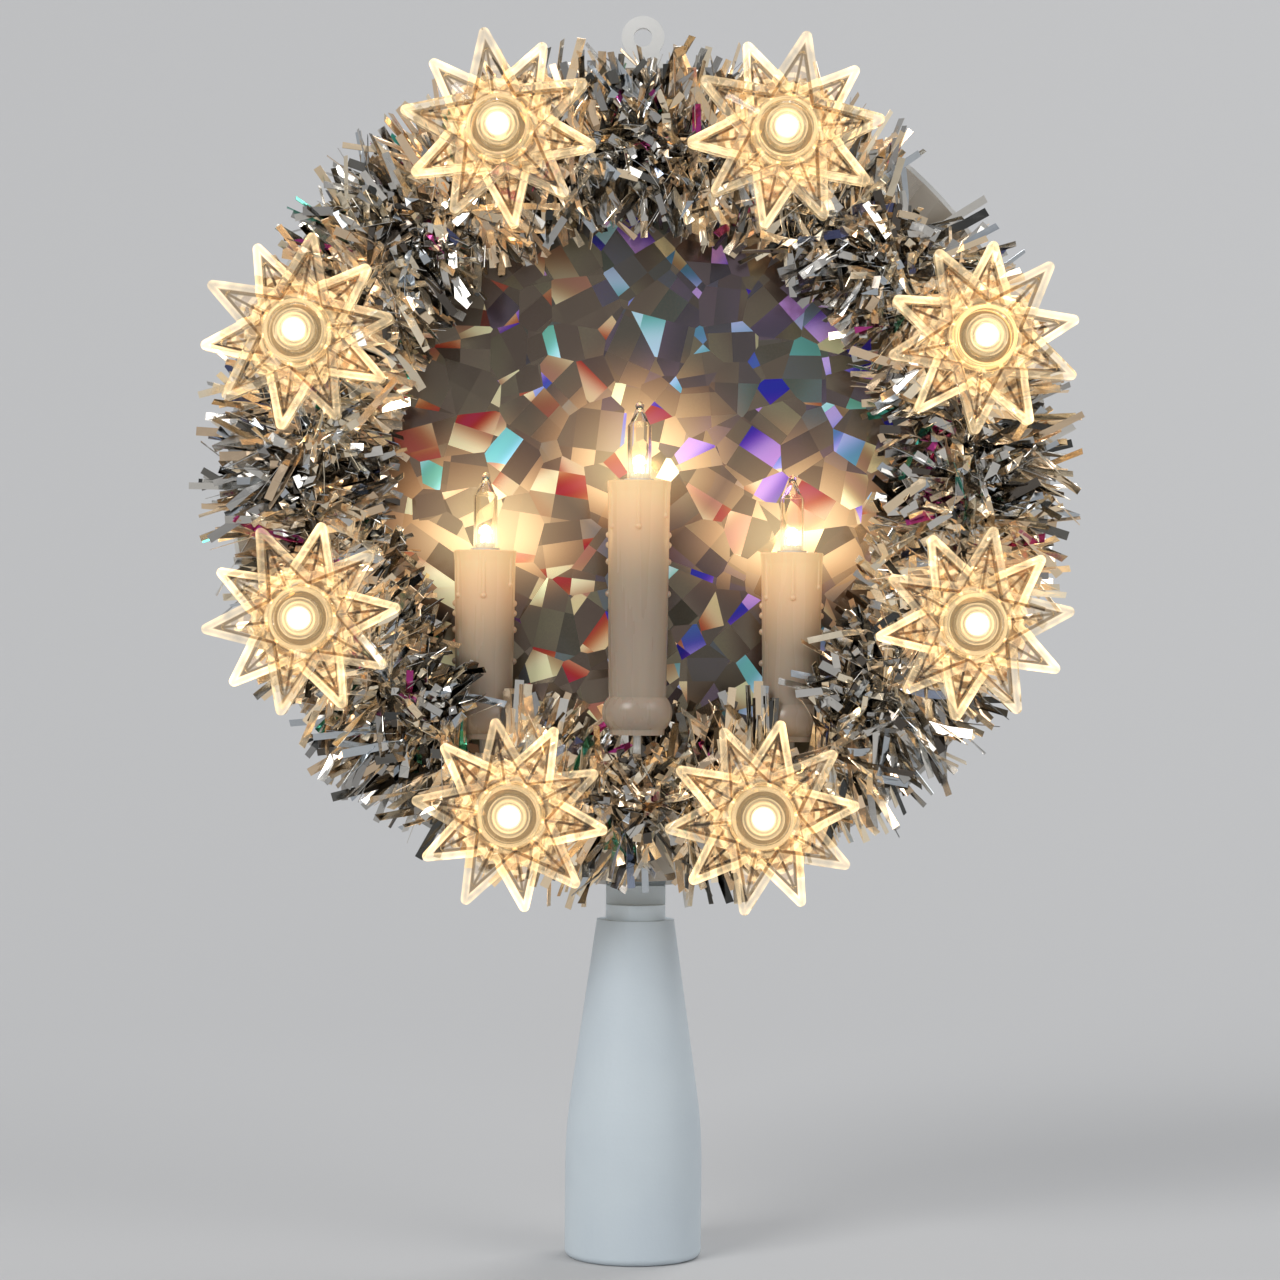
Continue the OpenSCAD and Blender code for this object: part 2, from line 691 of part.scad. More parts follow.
// Half outline of a sleeve: flat foot, round bulge, a slight taper and a lip at the top.
module sleeve_outline(h) {
    bulge_end_r = bulge_h / 2;
    lip_h = 2.5;
    intersection() {
        union() {
            polygon([[0, 0], [bulge_flat_r, 0], [sleeve_foot_r, bulge_h], [sleeve_r, h - lip_h],
                     [sleeve_r + sleeve_lip, h - sleeve_lip], [sleeve_r, h], [0, h]]);
            translate([bulge_r - bulge_end_r, bulge_end_r]) circle(r = bulge_end_r);
        }
        square([bulge_r + 1, h]);
    }
}

// Wax that has run down a sleeve: drops along both sides, and runs from the top all around.
module wax(h) {
    for (side = [0, 180], below = wax_drops)
        rotate([0, 0, side]) translate([sleeve_r - wax_drop_r / 2, 0, h - below]) sphere(r = wax_drop_r);
    for (k = [0 : wax_runs - 1]) {
        run = 5 + 7 * abs(sin(k * 77));
        rotate([0, 0, (k + 0.5) * 360 / wax_runs]) translate([sleeve_r - wax_drop_r / 2, 0, h - run]) {
            cylinder(r = wax_drop_r * 0.75, h = run - sleeve_lip);
            sphere(r = wax_drop_r);
        }
    }
}

module sleeve(candle) {
    h = candle[4];
    arm_top = arm_z + arm_h;
    color("cornsilk") at_candle(candle) difference() {
        union() {
            rotate_extrude() sleeve_outline(h);
            wax(h);
        }
        translate([0, 0, sleeve_floor_t]) cylinder(r = sleeve_bore_r, h = h);
        translate([0, 0, -1]) cylinder(r = wire_side + wire_r + lead_gap, h = h);
        translate([-arm_w / 2 - tenon_fit, 0, -1])
            cube([arm_w + 2 * tenon_fit, bulge_r + 1, arm_top + 1]);
    }
}

// Wiring

// Wire n of a candle, from its holder's tail down the post and back through the plate.
module candle_lead(candle, n) {
    top = candle[4] - sleeve_top_gap - holder_len - holder_flange_t - holder_tail_len;
    y = n * wire_side;
    r = lead_radius(n);
    path = concat(
        [[0, y, top], [0, y, top / 2]],
        [for (k = [0 : bend_steps]) let (a = k * 90 / bend_steps)
            [0, lead_centre_y - r * cos(a), -lead_drop - r * sin(a)]],
        [[0, candle[2], lead_z(n)], [0, candle[2] + tenon_end, lead_z(n)]]
    );
    at_candle(candle) wire(path, [1, 0, 0]);
}

module candle_leads() {
    color("white") for (candle = candles, n = [-1, 1]) candle_lead(candle, n);
}

// Where wire number n of a candle comes out behind the plate, in the wreath's frame.
function candle_exit(candle, n) = [candle[1], lead_z(n) - candle[3], -tenon_end];
// Where wire number n leaves the tail of holder i. The two wires sit side by side.
function tail_exit(i, n) =
    let (a = star_angle(i), along = [cos(a), -sin(a)])
    concat(star_place(i) + n * tail_wire_x * along, tail_end);

module wire_loom() {
    last_right = star_count / 2;
    color("white") wreath() {
        for (i = [1 : star_count])
            if (i != last_right) lead(tail_exit(i, 1), tail_exit(i % star_count + 1, -1), 3);
        lead(tail_exit(last_right, 1), candle_exit(candles[2], 1));
        lead(candle_exit(candles[2], -1), candle_exit(candles[1], 1));
        lead(candle_exit(candles[1], -1), candle_exit(candles[0], 1));
        lead(candle_exit(candles[0], -1), tail_exit(last_right + 1, -1));
    }
}

// Nodes

tree_cone();
back_plate();
plate_stem();
prismatic_film();
garland_core();
tinsel_garland();
wire_loom();
candle_leads();
for (i = [1 : star_count]) {
    color("white") star_lamp_frame(i) lamp_base_shape();  // star_lamp_bases
    color("gold") star_lamp_frame(i) filament_shape();  // star_filaments
    color("white") star_lamp_frame(i) holder_shape();
    color("lightyellow") star_lamp_frame(i) glass_shape();
    star_rear(i);
    star_front(i);
}
for (candle = candles) {
    bracket(candle);
    sleeve(candle);
    color("white") candle_lamp_frame(candle) holder_shape();
    color("white") candle_lamp_frame(candle) lamp_base_shape();
    color("gold") candle_lamp_frame(candle) filament_shape();
    color("lightyellow") candle_lamp_frame(candle) glass_shape();
}
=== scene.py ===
"""Looks of a lighted wreath tree topper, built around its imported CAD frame.

Lengths are in metres in the CAD's own frame: +Z is up and the wreath faces -Y.
"""

import math
import random

import bpy
from mathutils import Matrix, Vector


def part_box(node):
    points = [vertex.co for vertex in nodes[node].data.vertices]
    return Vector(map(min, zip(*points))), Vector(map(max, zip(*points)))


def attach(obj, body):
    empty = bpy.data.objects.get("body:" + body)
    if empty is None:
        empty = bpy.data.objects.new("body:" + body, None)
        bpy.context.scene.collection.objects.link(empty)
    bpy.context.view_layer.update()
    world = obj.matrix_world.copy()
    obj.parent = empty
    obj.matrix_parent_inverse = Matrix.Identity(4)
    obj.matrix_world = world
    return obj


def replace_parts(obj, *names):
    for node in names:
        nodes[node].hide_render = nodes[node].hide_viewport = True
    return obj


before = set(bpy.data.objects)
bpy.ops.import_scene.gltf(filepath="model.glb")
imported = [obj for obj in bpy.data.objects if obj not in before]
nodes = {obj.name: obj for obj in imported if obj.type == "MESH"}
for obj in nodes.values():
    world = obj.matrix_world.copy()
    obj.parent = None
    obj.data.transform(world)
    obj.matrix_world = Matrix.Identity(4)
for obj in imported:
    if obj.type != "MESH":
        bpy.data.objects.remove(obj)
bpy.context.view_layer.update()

MM = 0.001

# Places read from the frame

FRONT = Vector((0, -1, 0))
STARS = range(1, 9)
CANDLES = ("left", "middle", "right")


def front_of(node):
    """How far a node reaches in front of the wreath's mid plane."""
    return -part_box(node)[0].y


def middle_of(node):
    low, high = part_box(node)
    return (low + high) / 2


def axis_of(node):
    """Where a node's middle lies in the wreath's mid plane."""
    middle = middle_of(node)
    return Vector((middle.x, 0, middle.z))


def star_tip(node, axis):
    """The way that one of a star's points shows, clockwise from the top, and how far it reaches."""
    ways = [nodes[node].matrix_world @ v.co - axis for v in nodes[node].data.vertices]
    tip = max(ways, key=lambda way: math.hypot(way.x, way.z))
    return math.atan2(tip.x, tip.z), math.hypot(tip.x, tip.z)


wreath_centre = axis_of("prismatic_film")
star_axes = [axis_of(f"lamp_holder_{i}") for i in STARS]
star_reach = star_tip("star_front_1", star_axes[0])[1]
film_front = front_of("prismatic_film")
core_low, core_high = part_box("garland_core")
core_wire_r = (core_high.y - core_low.y) / 2
core_ring_r = (core_high.x - core_low.x) / 2 - core_wire_r
core_front = -(core_low.y + core_high.y) / 2
# The pile's solid ends just behind the stars' points.
star_back = front_of("tinsel_garland")
candle_boxes = [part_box(f"candle_sleeve_{name}") for name in CANDLES]

# Camera

PHOTO_PX = 1280
METRES_PER_PX = 0.235 * MM
CAMERA_DISTANCE = 0.78
CAMERA_HEIGHT = 0.1445
CAMERA_ASIDE = 0.5 * MM
CAMERA_ROLL = math.radians(0.49)
CAMERA_NEAR = 0.01
SENSOR_MM = 36


def make_camera():
    data = bpy.data.cameras.new("photo_camera")
    data.sensor_width = SENSOR_MM
    data.lens = SENSOR_MM * CAMERA_DISTANCE / (PHOTO_PX * METRES_PER_PX)
    data.clip_start = CAMERA_NEAR
    camera = bpy.data.objects.new("photo_camera", data)
    bpy.context.scene.collection.objects.link(camera)
    look = Matrix.Rotation(math.radians(90), 4, "X") @ Matrix.Rotation(CAMERA_ROLL, 4, "Z")
    camera.matrix_world = Matrix.Translation((CAMERA_ASIDE, -CAMERA_DISTANCE, CAMERA_HEIGHT)) @ look
    bpy.context.scene.camera = camera


# Materials


class Surface:
    """A material built on one principled shader, with short ways to add nodes."""

    def __init__(self, name, **values):
        self.material = bpy.data.materials.new(name)
        self.material.use_nodes = True
        self.tree = self.material.node_tree
        self.shader = self.tree.nodes["Principled BSDF"]
        for socket, value in values.items():
            self.shader.inputs[socket.replace("_", " ")].default_value = value

    def node(self, kind, inputs=(), **settings):
        made = self.tree.nodes.new("ShaderNode" + kind)
        for key, value in settings.items():
            setattr(made, key, value)
        for key, value in dict(inputs).items():
            self.put(made.inputs[key], value)
        return made

    def put(self, socket, value):
        if isinstance(value, bpy.types.NodeSocket):
            self.tree.links.new(value, socket)
        else:
            socket.default_value = value

    def feed(self, **values):
        for socket, value in values.items():
            self.put(self.shader.inputs[socket.replace("_", " ")], value)

    def place(self):
        return self.node("TexCoord").outputs["Object"]

    def math(self, operation, *values):
        made = self.node("Math", operation=operation)
        for socket, value in zip(made.inputs, values):
            self.put(socket, value)
        return made.outputs[0]

    def vector(self, operation, *values):
        made = self.node("VectorMath", operation=operation)
        for socket, value in zip(made.inputs, values):
            self.put(socket, value)
        return made.outputs["Value" if operation in ("LENGTH", "DOT_PRODUCT") else "Vector"]

    def scaled(self, vector, factor):
        return self.node("VectorMath", {0: vector, "Scale": factor}, operation="SCALE").outputs["Vector"]

    def step(self, value, low, high, start=0.0, end=1.0):
        """start below low, end above high, and a smooth way between them."""
        inputs = {"Value": value, "From Min": low, "From Max": high, "To Min": start, "To Max": end}
        return self.node("MapRange", inputs, interpolation_type="SMOOTHSTEP").outputs["Result"]

    def mix(self, share, a, b):
        made = self.node("Mix", data_type="RGBA")
        for socket, value in zip((made.inputs[0], made.inputs[6], made.inputs[7]), (share, a, b)):
            self.put(socket, value)
        return made.outputs[2]

    def noise(self, scale, detail=2.0, vector=None):
        inputs = {"Scale": scale, "Detail": detail, "Vector": vector or self.place()}
        return self.node("TexNoise", inputs).outputs["Fac"]

    def stretched(self, scale):
        """The place, stretched differently along the three axes."""
        return self.node("Mapping", {"Vector": self.place(), "Scale": scale}).outputs["Vector"]

    def hsv(self, hue, saturation, value):
        return self.node("CombineColor", {0: hue, 1: saturation, 2: value}, mode="HSV").outputs[0]

    def bump(self, height, distance):
        self.feed(Normal=self.node("Bump", {"Height": height, "Distance": distance}).outputs["Normal"])


def rgb(r, g, b):
    return (r, g, b, 1.0)


# A name that ends in _STEP holds what Surface.step takes: two limits, and then the results below and above
# them where these aren't 0 and 1.
NOISE_STEP = (0.3, 0.7)

# Moulded plastics: colour, colour of the faint clouds, roughness, and the grain's scale if it isn't plain
PLASTICS = {
    "cone_plastic": ((0.60, 0.67, 0.71), (0.56, 0.63, 0.68), 0.48),
    "plate_plastic": ((0.80, 0.80, 0.78), (0.74, 0.74, 0.72), 0.42),
    # The stem is the cone's plastic, painted lighter to offset the shade that the tinsel casts on it.
    "stem_plastic_painted_lighter": ((0.78, 0.87, 0.92), (0.73, 0.82, 0.88), 0.45),
    "holder_plastic": ((0.82, 0.80, 0.74), (0.76, 0.74, 0.68), 0.40),
    "lamp_base_plastic": ((0.84, 0.81, 0.72), (0.78, 0.74, 0.64), 0.38),
    "bracket_plastic": ((0.72, 0.60, 0.48), (0.66, 0.53, 0.42), 0.42),
    "wire_insulation": ((0.78, 0.77, 0.72), (0.72, 0.71, 0.66), 0.35, 1500),
}
PLAIN_GRAIN = 900
GRAIN_DEPTH = 0.03 * MM
CLOUD_SCALE = 35
CLOUD_STEP = (0.35, 0.7)
GLOSS_SCALE = 120
GLOSS_SMOOTHER = 0.06
GLOSS_ROUGHER = 0.08


def moulded_plastic(name, colour, shade, roughness, grain=PLAIN_GRAIN):
    """Moulded plastic: faint clouds in its colour, a fine eggshell grain and uneven gloss."""
    s = Surface(name)
    clouds = s.step(s.noise(CLOUD_SCALE, 3), *CLOUD_STEP)
    s.feed(Base_Color=s.mix(clouds, rgb(*colour), rgb(*shade)))
    gloss = s.step(s.noise(GLOSS_SCALE), *NOISE_STEP, roughness - GLOSS_SMOOTHER, roughness + GLOSS_ROUGHER)
    s.feed(Roughness=gloss)
    s.bump(s.noise(grain), GRAIN_DEPTH)
    return s.material


# Sizes of a star cover that its light depends on
STAR_POINTS = 5
STAR_NOTCH_R = 10.5 * MM
STAR_TIP_ROUND = 1.2 * MM
STAR_RIM_W = 1.8 * MM
STAR_CUP_R = 7 * MM
STAR_LENS_R = 4.9 * MM
LENS_RING_GAP = 1.2 * MM
STAR_BEVEL = 0.22 * MM

# Rims, from their notch to their tip, and facets, from the cup outwards
RIM_STEP = (STAR_RIM_W - 0.25 * MM, STAR_RIM_W, 1.0, 0.0)
GROOVE_STEP = (0.15 * MM, 0.6 * MM, 0.6, 1.0)
RIM_GLOW = {"rear": (0.6, 0.75), "front": (0.14, 0.42)}
FACET_STEP = (STAR_RIM_W + 0.3 * MM, STAR_RIM_W + 0.7 * MM)
RIDGE_STEP = (0.15 * MM, 0.45 * MM)
FACET_REACH = (STAR_CUP_R, 17 * MM)
FACET_GLOW = {"rear": (0.42, 0.4), "front": (0.24, 0.19)}
BLOCK_LENGTH = 3.0 * MM
BLOCK_SHIFT = 2.4
BLOCK_STEP = (0.0, 0.6)
BLOCK_SHARE = 0.75
UNEVEN_SCALE = 240
UNEVEN_STEP = (0.36, 0.64, 0.45, 1.4)
CUP_STEP = (STAR_CUP_R, STAR_CUP_R + 0.5 * MM)

# The lens in the middle, all painted light and shade: a glowing hot spot and rings, a moat darkened as
# painted shade with a faint glow, the cup's rim as a painted highlight and painted sparks around it
SPOT_STEP = (1.2 * MM, 3.9 * MM, 0.8, 0.0)
LENS_STEP = (STAR_LENS_R - 0.3 * MM, STAR_LENS_R, 0.55, 0.0)
# How strong the rings are, and the light that they add to
LENS_WAVE = (0.4, 0.6)
MOAT_IN_STEP = (STAR_LENS_R - 0.1 * MM, STAR_LENS_R + 0.2 * MM)
MOAT_OUT_STEP = (5.9 * MM, 6.2 * MM, 1.0, 0.0)
MOAT_GLOW = 0.14
MOAT_PAINTED_SHADE = 0.9
CUP_IN_STEP = (6.0 * MM, 6.3 * MM)
CUP_OUT_STEP = (STAR_CUP_R, STAR_CUP_R + 0.3 * MM, 0.35, 0.0)
SPARK_STEP = (0.6, 0.95)
SPARK_RING_STEP = (7.6 * MM, 8.2 * MM, 0.9, 0.0)

STAR_CLEAR = rgb(1.0, 0.92, 0.79)
# Colour of the painted shade lines inside the rims and along the ridges
STAR_PAINTED_SHADE = rgb(0.64, 0.49, 0.32)
STAR_AMBER = rgb(1.0, 0.50, 0.17)
STAR_CREAM = rgb(1.0, 0.74, 0.40)
LENS_HOT = rgb(1.0, 0.92, 0.66)
LENS_WARM = rgb(1.0, 0.72, 0.36)
LENS_HOT_STEP = (1.0 * MM, 3.6 * MM)
# Faces that look to the front glow most.
FACING_STEP = (-0.6, -0.1, 1.0, 0.3)


def star_plastic(node, axis, side):
    """Clear plastic lit by the lamp inside it: the rims and facets glow with painted light, with painted
    shade lines between them.
    """
    s = Surface(f"{node}_plastic", Roughness=0.02, IOR=1.49, Transmission_Weight=0.95)
    turn, tip_r = star_tip(node, axis)
    half_step = math.pi / STAR_POINTS
    # The straight edge of a point, as the angle of its normal and its distance from the centre.
    notch_x = STAR_NOTCH_R * math.cos(half_step) - (tip_r - STAR_TIP_ROUND)
    notch_y = STAR_NOTCH_R * math.sin(half_step)
    edge_angle = math.atan2(notch_y, notch_x) - math.acos(STAR_TIP_ROUND / math.hypot(notch_x, notch_y))
    edge_reach = STAR_NOTCH_R * math.cos(half_step - edge_angle)

    x, _, z = s.node("SeparateXYZ", {0: s.vector("SUBTRACT", s.place(), axis)}).outputs
    radius = s.vector("LENGTH", s.node("CombineXYZ", {0: x, 2: z}).outputs[0])
    angle = s.math("SUBTRACT", s.math("ARCTAN2", x, z), turn)
    from_ridge = s.math("PINGPONG", angle, half_step)
    outward = s.math("MULTIPLY", radius, s.math("COSINE", s.math("SUBTRACT", from_ridge, edge_angle)))
    inward = s.math("SUBTRACT", edge_reach, outward)
    across = s.math("MULTIPLY", radius, s.math("SINE", from_ridge))

    rim = s.step(inward, *RIM_STEP)
    from_middle = s.math("ABSOLUTE", s.math("SUBTRACT", inward, STAR_RIM_W / 2))
    groove = s.step(from_middle, *GROOVE_STEP)
    rim_light = s.math("MULTIPLY", groove, s.step(radius, STAR_NOTCH_R, tip_r, *RIM_GLOW[side]))
    facet = s.math("MULTIPLY", s.step(inward, *FACET_STEP), s.step(across, *RIDGE_STEP))
    # Each half of a point breaks the light into blocks, which don't line up with those beside them.
    half_point = s.math("FLOOR", s.math("DIVIDE", angle, half_step))
    shift = s.math("MULTIPLY", half_point, BLOCK_SHIFT)
    phase = s.math("MULTIPLY_ADD", radius, 2 * math.pi / BLOCK_LENGTH, shift)
    blocks = s.step(s.math("COSINE", phase), *BLOCK_STEP)
    facet_light = s.step(radius, *FACET_REACH, *FACET_GLOW[side])
    in_blocks = s.math("MULTIPLY_ADD", blocks, BLOCK_SHARE, 1 - BLOCK_SHARE)
    facet_light = s.math("MULTIPLY", facet_light, in_blocks)
    outside_cup = s.step(radius, *CUP_STEP)
    lit = s.math("ADD", s.math("MULTIPLY", rim, rim_light), s.math("MULTIPLY", facet, facet_light))
    uneven = s.step(s.noise(UNEVEN_SCALE, 1), *UNEVEN_STEP)
    glow = s.math("MULTIPLY", s.math("MULTIPLY", lit, uneven), outside_cup)
    # Where neither rim nor facet glows, at each rim's inner wall and along each ridge, the colour is darkened
    # as painted shade.
    lines = s.math("MULTIPLY", s.math("SUBTRACT", 1.0, s.math("MAXIMUM", rim, facet)), outside_cup)
    if side == "front":
        spot = s.step(radius, *SPOT_STEP)
        wave = s.math("COSINE", s.math("MULTIPLY", radius, 2 * math.pi / LENS_RING_GAP))
        rings = s.math("MULTIPLY", s.math("MULTIPLY_ADD", wave, *LENS_WAVE), s.step(radius, *LENS_STEP))
        cup_rim = s.math("MULTIPLY", s.step(radius, *CUP_IN_STEP), s.step(radius, *CUP_OUT_STEP))
        sparks = s.step(s.math("COSINE", s.math("MULTIPLY", angle, 2 * STAR_POINTS)), *SPARK_STEP)
        spark_ring = s.math("MULTIPLY", outside_cup, s.step(radius, *SPARK_RING_STEP))
        moat = s.math("MULTIPLY", s.step(radius, *MOAT_IN_STEP), s.step(radius, *MOAT_OUT_STEP))
        spark_light = s.math("MULTIPLY", sparks, spark_ring)
        moat_light = s.math("MULTIPLY", moat, MOAT_GLOW)
        for light in (spot, rings, cup_rim, spark_light, moat_light):
            glow = s.math("ADD", glow, light)
        # The moat's colour is darkened as painted shade.
        lines = s.math("MULTIPLY_ADD", moat, MOAT_PAINTED_SHADE, lines)
    normal = s.node("TexCoord").outputs["Normal"]
    faces_back = s.node("SeparateXYZ", {0: normal}).outputs[1]
    s.feed(Base_Color=s.mix(lines, STAR_CLEAR, STAR_PAINTED_SHADE))
    amber = s.mix(s.math("MAXIMUM", rim, blocks), STAR_AMBER, STAR_CREAM)
    hot = s.mix(s.step(radius, *LENS_HOT_STEP), LENS_HOT, LENS_WARM)
    s.feed(Emission_Color=s.mix(outside_cup, hot, amber))
    s.feed(Emission_Strength=s.math("MULTIPLY", glow, s.step(faces_back, *FACING_STEP)))
    return s.material


# Shards of the film: cells about SHARD_CELL across, each cut by two rows of lines of its own.
SHARD_CELL = 11 * MM
SHARD_WIDTH = 5.5 * MM
SHARD_LENGTH = 9.5 * MM
SHARD_SKEW = (0, 1, 0.35)
# Steps of colour that tell the shards of a cell apart
WIDTH_MARK = (0.37, 0.71, 0.13)
LENGTH_MARK = (0.83, 0.29, 0.57)
MID_COLOUR = (0.5, 0.5, 0.5)
SHARD_TILT = 0.3

# Waves of colour across a shard. Each shard has its own way and a rate below this one, in radians a metre.
BAND_RATE = 700.0
BAND_HUE = 0.055
BAND_PALE_STEP = (-0.7, 0.9, 1.0, 0.64)
BAND_BRIGHT_STEP = (-0.9, 0.9, 0.45, 0.9)

# Hues: red to yellow, and cyan to violet for a share of the shards that grows towards the right and shrinks
# near the candle lamps as painted warmth of their light
# The range of the warm hues, and the first of them
WARM_HUE = (0.08, 0.03)
COOL_HUE_STEP = (0.3, 1.0, 0.72, 0.48)
COOL_SLANT = 0.35
COOL_STEP = (-28 * MM, 20 * MM, 0.05, 0.7)
COOL_IN_PAINTED_LAMPLIGHT_STEP = (0.1, 0.6, 1.0, 0.15)
HUE_STRENGTH_STEP = (0.2, 0.8, 0.92, 0.66)

# Most shards are dull, and some flash: the flashing shards show the film's own rainbow and glow as painted
# glints. Near its edge the film is plain.
SHARD_FLASH_STEP = (0.78, 0.82)
DULL_DARK = rgb(0.118, 0.096, 0.070)
DULL_PALE = rgb(0.24, 0.19, 0.14)
FAINT_STRENGTH = 0.42
FAINT_VALUE = 0.3
FAINT_STEP = (0.1, 0.6, 0.15, 0.6)
FILM_GRAIN = rgb(0.18, 0.15, 0.12)
FILM_GRAIN_SCALE = 2600
FILM_GRAIN_SHARE = 0.25
FILM_EDGE_COLOUR = rgb(0.52, 0.46, 0.38)
FILM_EDGE_R = (72 * MM, 82 * MM)
FILM_ROUGHNESS = (0.16, 0.36)

# Light of the candle lamps, painted on the film as glow and warmer hues; it ends sooner below a lamp, as
# painted shade of the candle below it
CANDLE_LIGHT_STEP = (2 * MM, 36 * MM, 1.0, 0.0)
LIGHT_DROP = (0, 0, 0.7)
LIGHT_FALL = 1.6
FAR_GLOW = rgb(1.0, 0.44, 0.17)
NEAR_GLOW = rgb(1.0, 0.74, 0.38)
OWN_COLOUR_STEP = (0.2, 0.9, 1.0, 0.6)
SHARD_LIGHT_STEP = (0.0, 1.0, 0.3, 1.5)
SHARD_NEAR_GLOW = 0.4
SHARD_GLOW = 0.1


def film_shards(s):
    """A random colour for each straight-edged shard."""
    cell = s.node("TexVoronoi", {"Vector": s.place(), "Scale": 1 / SHARD_CELL}).outputs["Color"]
    across = s.vector("MULTIPLY", s.vector("SUBTRACT", cell, MID_COLOUR), (1, 0, 1))
    across = s.vector("NORMALIZE", across)
    along = s.vector("CROSS_PRODUCT", across, SHARD_SKEW)
    first, second, _ = s.node("SeparateColor", {0: cell}).outputs
    shard = cell
    for way, width, shift, mark in ((across, SHARD_WIDTH, first, WIDTH_MARK),
                                    (along, SHARD_LENGTH, second, LENGTH_MARK)):
        steps = s.math("MULTIPLY_ADD", s.vector("DOT_PRODUCT", s.place(), way), 1 / width, shift)
        shard = s.vector("ADD", shard, s.scaled(mark, s.math("FLOOR", steps)))
    return s.node("TexWhiteNoise", {"Vector": shard}).outputs["Color"]


def candle_light(s):
    """How near a place on the film is to the closest candle lamp, from 0 to 1."""
    near = 0.0
    for name in CANDLES:
        lamp = middle_of(f"candle_filament_{name}")
        way = s.vector("SUBTRACT", s.place(), Vector((lamp.x, -film_front, lamp.z)))
        # Below a lamp the nearness falls faster: painted shade of the candle.
        below = s.math("MINIMUM", s.node("SeparateXYZ", {0: way}).outputs[2], 0.0)
        dropped = s.vector("ADD", way, s.scaled(LIGHT_DROP, below))
        near = s.math("MAXIMUM", near, s.step(s.vector("LENGTH", dropped), *CANDLE_LIGHT_STEP))
    return s.math("POWER", near, LIGHT_FALL)


def prismatic_film():
    """Mirror film embossed with shards that each throw a colour of their own."""
    s = Surface("prismatic_film", Metallic=0.75)
    shard = film_shards(s)
    a, b, c = s.node("SeparateColor", {0: shard}).outputs
    x, _, z = s.node("SeparateXYZ", {0: s.vector("SUBTRACT", s.place(), wreath_centre)}).outputs
    radius = s.vector("LENGTH", s.node("CombineXYZ", {0: x, 2: z}).outputs[0])
    own_way = s.vector("SUBTRACT", shard, MID_COLOUR)
    bands = s.math("SINE", s.math("MULTIPLY", s.vector("DOT_PRODUCT", s.place(), own_way), BAND_RATE))
    near = candle_light(s)

    cool_share = s.step(s.math("MULTIPLY_ADD", z, COOL_SLANT, x), *COOL_STEP)
    # Near the candle lamps fewer shards take cool hues: painted warmth of the lamps' light.
    cool_share = s.math("MULTIPLY", cool_share, s.step(near, *COOL_IN_PAINTED_LAMPLIGHT_STEP))
    is_cool = s.math("LESS_THAN", a, cool_share)
    warm_hue = s.math("MULTIPLY_ADD", b, *WARM_HUE)
    cool_hue = s.step(b, *COOL_HUE_STEP)
    own_hue = s.math("MULTIPLY_ADD", is_cool, s.math("SUBTRACT", cool_hue, warm_hue), warm_hue)
    hue = s.math("FRACT", s.math("MULTIPLY_ADD", bands, BAND_HUE, s.math("ADD", own_hue, 1.0)))
    strong = s.math("MULTIPLY", s.step(b, *HUE_STRENGTH_STEP), s.step(bands, *BAND_PALE_STEP))
    bright = s.step(bands, *BAND_BRIGHT_STEP)
    rainbow = s.hsv(hue, strong, bright)

    grain = s.step(s.noise(FILM_GRAIN_SCALE, 1), *NOISE_STEP, 0.0, FILM_GRAIN_SHARE)
    dull = s.mix(a, DULL_DARK, DULL_PALE)
    faint = s.hsv(hue, FAINT_STRENGTH, s.math("MULTIPLY", bright, FAINT_VALUE))
    grey = s.mix(grain, s.mix(s.step(c, *FAINT_STEP), dull, faint), FILM_GRAIN)
    flashes = s.math("MULTIPLY", s.step(c, *SHARD_FLASH_STEP), s.step(radius, *FILM_EDGE_R, 1.0, 0.0))
    plain = s.mix(s.step(radius, *FILM_EDGE_R), grey, FILM_EDGE_COLOUR)
    s.feed(Base_Color=s.mix(flashes, plain, rainbow))
    s.feed(Roughness=s.step(b, 0.0, 1.0, *FILM_ROUGHNESS))

    warm = s.mix(near, FAR_GLOW, NEAR_GLOW)
    own = s.math("MULTIPLY", flashes, s.step(near, *OWN_COLOUR_STEP))
    s.feed(Emission_Color=s.mix(own, warm, rainbow))
    share = s.step(b, *SHARD_LIGHT_STEP)
    lit = s.math("MULTIPLY", near, s.math("MULTIPLY_ADD", flashes, SHARD_NEAR_GLOW, share))
    # Flashing shards glow everywhere as painted glints; near the candle lamps all shards glow as painted lamp
    # light.
    s.feed(Emission_Strength=s.math("MULTIPLY_ADD", flashes, SHARD_GLOW, lit))
    normal = s.vector("ADD", s.node("NewGeometry").outputs["Normal"], s.scaled(own_way, SHARD_TILT))
    s.feed(Normal=s.vector("NORMALIZE", normal))
    return s.material


FOIL_NOISE_SCALE = 300
FOIL_ROUGHNESS = (0.08, 0.26)


def tinsel_foil():
    """Cut foil. Each strip has its own tint, gold near a star as a painted reflection of its light, and those
    close to a star shine with a painted glow.
    """
    s = Surface("tinsel_foil", Metallic=1.0)
    tint = s.node("Attribute", attribute_name="tint").outputs["Color"]
    shine = s.node("Attribute", attribute_name="shine").outputs["Fac"]
    s.feed(Base_Color=tint, Emission_Color=tint, Emission_Strength=shine)
    s.feed(Roughness=s.step(s.noise(FOIL_NOISE_SCALE), *NOISE_STEP, *FOIL_ROUGHNESS))
    return s.material


